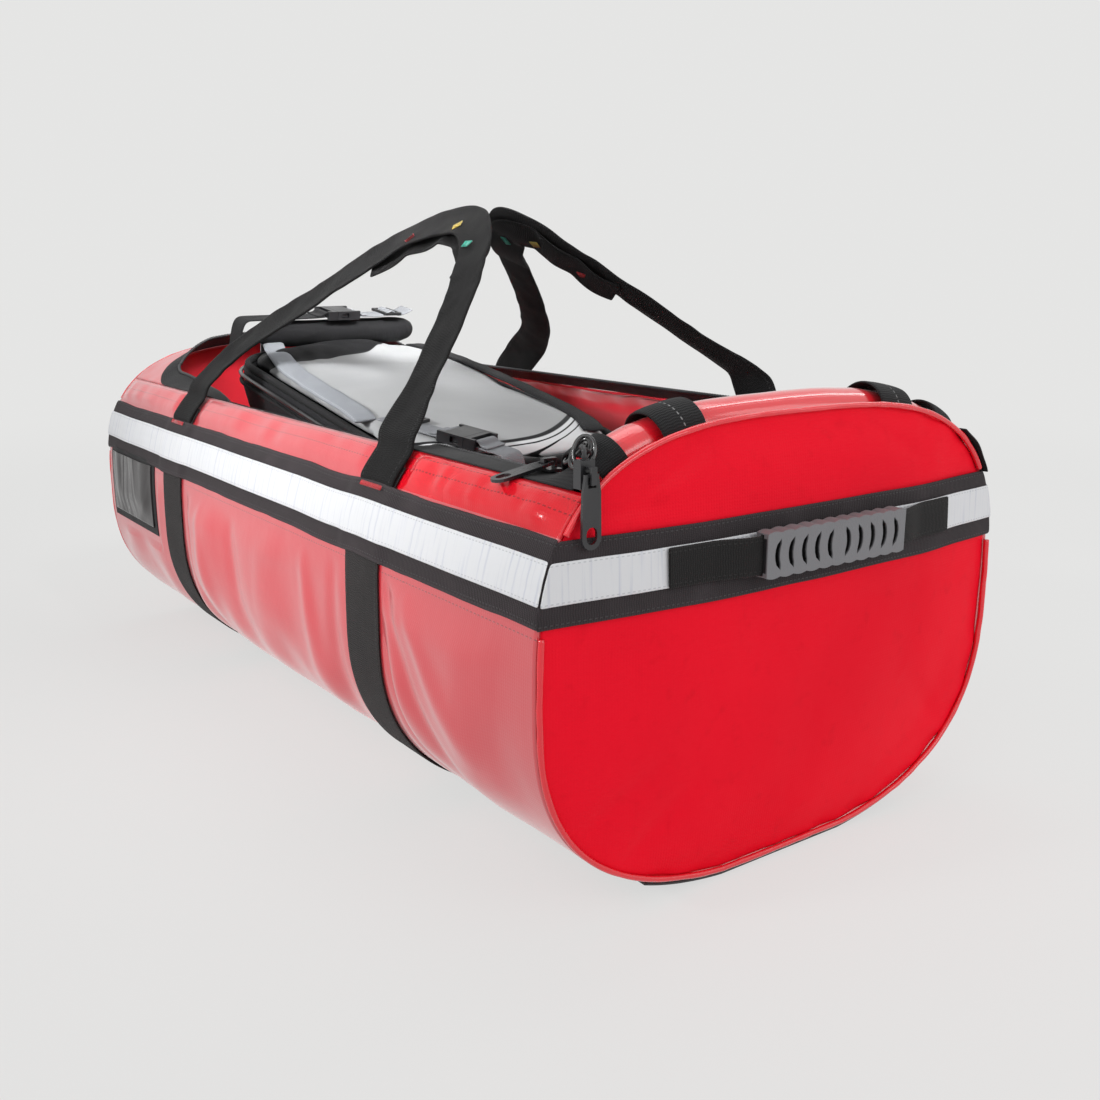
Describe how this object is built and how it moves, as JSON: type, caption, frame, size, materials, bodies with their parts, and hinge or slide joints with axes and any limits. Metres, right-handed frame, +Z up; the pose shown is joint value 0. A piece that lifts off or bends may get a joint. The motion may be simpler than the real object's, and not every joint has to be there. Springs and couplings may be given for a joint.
{
  "type": "child rescue bag",
  "caption": "Open coated-fabric duffel with rolled lid, webbing handles, reflective band, moulded end grips and a padded child carrier inside.",
  "frame": {"origin": "on the floor under the middle of the bag, at the middle of its flat rest face", "axes": "+X along the bag to the near end, where the lid is rolled; -Y is the left side; +Z up"},
  "size_m": [0.875, 0.423, 0.4455],
  "materials": {
    "black_pvc": "coated fabric",
    "black_tape": "woven",
    "black_webbing": "woven",
    "board": "matte sheet",
    "buckle_plastic": "moulded",
    "carrier_fabric": "woven",
    "clear_window": "gloss film",
    "grey_pad": "coated fabric",
    "grey_webbing": "woven",
    "grip_rubber": "matte moulded",
    "red_piping": "coated fabric",
    "red_pvc": "gloss coated fabric",
    "reflective": "retroreflective film",
    "zip_metal": "satin"
  },
  "bodies": {
    "bag": {"side_and_base_skin": "red_pvc", "near_end_panel": "red_pvc", "far_end_panel": "red_pvc", "far_top_deck": "red_pvc", "near_piping_lower": "red_pvc", "near_piping_upper": "red_pvc", "far_piping_lower": "red_pvc", "far_piping_upper": "red_pvc", "left_band": "black_webbing", "right_band": "black_webbing", "near_band": "black_webbing", "far_band": "black_webbing", "left_reflective_stripe": "reflective", "right_reflective_stripe": "reflective", "near_reflective_stripe": "reflective", "far_reflective_stripe": "reflective", "near_load_strap": "black_webbing", "far_load_strap": "black_webbing", "base_panel": "black_pvc", "base_board": "board", "id_pocket_back": "black_pvc", "id_pocket_window": "clear_window", "zip_tape": "black_tape", "zip_coil": "black_tape", "rolled_lid": "red_pvc", "left_lid_zip_tape": "black_tape", "right_lid_zip_tape": "black_tape", "left_lid_band": "black_tape", "right_lid_band": "black_tape", "near_grab_strap": "black_webbing", "far_grab_strap": "black_webbing", "zip_slider_a": "zip_metal"},
    "carrier": {"carrier_tub": "carrier_fabric", "carrier_pad": "grey_pad", "carrier_edge_binding": "black_tape", "carrier_piping": "red_piping", "carrier_side_pad": "grey_webbing", "carrier_head_roll": "carrier_fabric", "lower_strap": "grey_webbing", "lower_ladder_lock": "buckle_plastic", "lower_buckle_female": "buckle_plastic", "upper_strap": "grey_webbing", "upper_ladder_lock": "buckle_plastic", "upper_buckle_female": "buckle_plastic"},
    "left_handle": {"left_handle": "black_webbing", "left_handle_loops": "black_webbing"},
    "right_handle": {"right_handle": "black_webbing", "right_handle_loops": "black_webbing"},
    "zip_slider_b": {"zip_slider_b": "zip_metal"},
    "zip_pull_a": {"zip_pull_a": "zip_metal"},
    "zip_pull_b": {"zip_pull_b": "zip_metal"},
    "near_grip": {"near_grip": "grip_rubber"},
    "far_grip": {"far_grip": "grip_rubber"},
    "lower_buckle_male": {"lower_buckle_male": "buckle_plastic", "lower_strap_end": "grey_webbing"},
    "upper_buckle_male": {"upper_buckle_male": "buckle_plastic", "upper_strap_end": "grey_webbing"}
  },
  "joints": [
    {"name": "left_handle_swing", "type": "hinge", "parent": "bag", "child": "left_handle", "pos_m": [0, -0.19193, 0.25546], "axis": [1, 0, 0], "range_deg": [0, 160]},
    {"name": "right_handle_swing", "type": "hinge", "parent": "bag", "child": "right_handle", "pos_m": [0, 0.19193, 0.25546], "axis": [-1, 0, 0], "range_deg": [0, 160]},
    {"name": "zip_slider_b_travel", "type": "slide", "parent": "bag", "child": "zip_slider_b", "axis": [-1, 0, 0], "range_m": [0, 0.105]},
    {"name": "zip_pull_a_swing", "type": "hinge", "parent": "bag", "child": "zip_pull_a", "pos_m": [0.4185, -0.176, 0.284], "axis": [0, -1, 0], "range_deg": [0, 170]},
    {"name": "zip_pull_b_swing", "type": "hinge", "parent": "zip_slider_b", "child": "zip_pull_b", "pos_m": [0.342, -0.1499, 0.2785], "axis": [-1, 0, 0], "range_deg": [0, 170]},
    {"name": "near_grip_lift", "type": "slide", "parent": "bag", "child": "near_grip", "axis": [1, 0, 0], "range_m": [0, 0.015], "stiffness_N_per_m": 60, "deforming": ["near_grab_strap"]},
    {"name": "far_grip_lift", "type": "slide", "parent": "bag", "child": "far_grip", "axis": [-1, 0, 0], "range_m": [0, 0.015], "stiffness_N_per_m": 60, "deforming": ["far_grab_strap"]},
    {"name": "carrier_lift", "type": "slide", "parent": "bag", "child": "carrier", "axis": [0, 0, 1], "range_m": [0, 0.02]},
    {"name": "lower_buckle_release", "type": "slide", "parent": "carrier", "child": "lower_buckle_male", "axis": [0.9222, 0.3578, -0.1468], "range_m": [0, 0.03]},
    {"name": "upper_buckle_release", "type": "slide", "parent": "carrier", "child": "upper_buckle_male", "axis": [0.0523, -0.9986, 0], "range_m": [0, 0.03]}
  ]
}
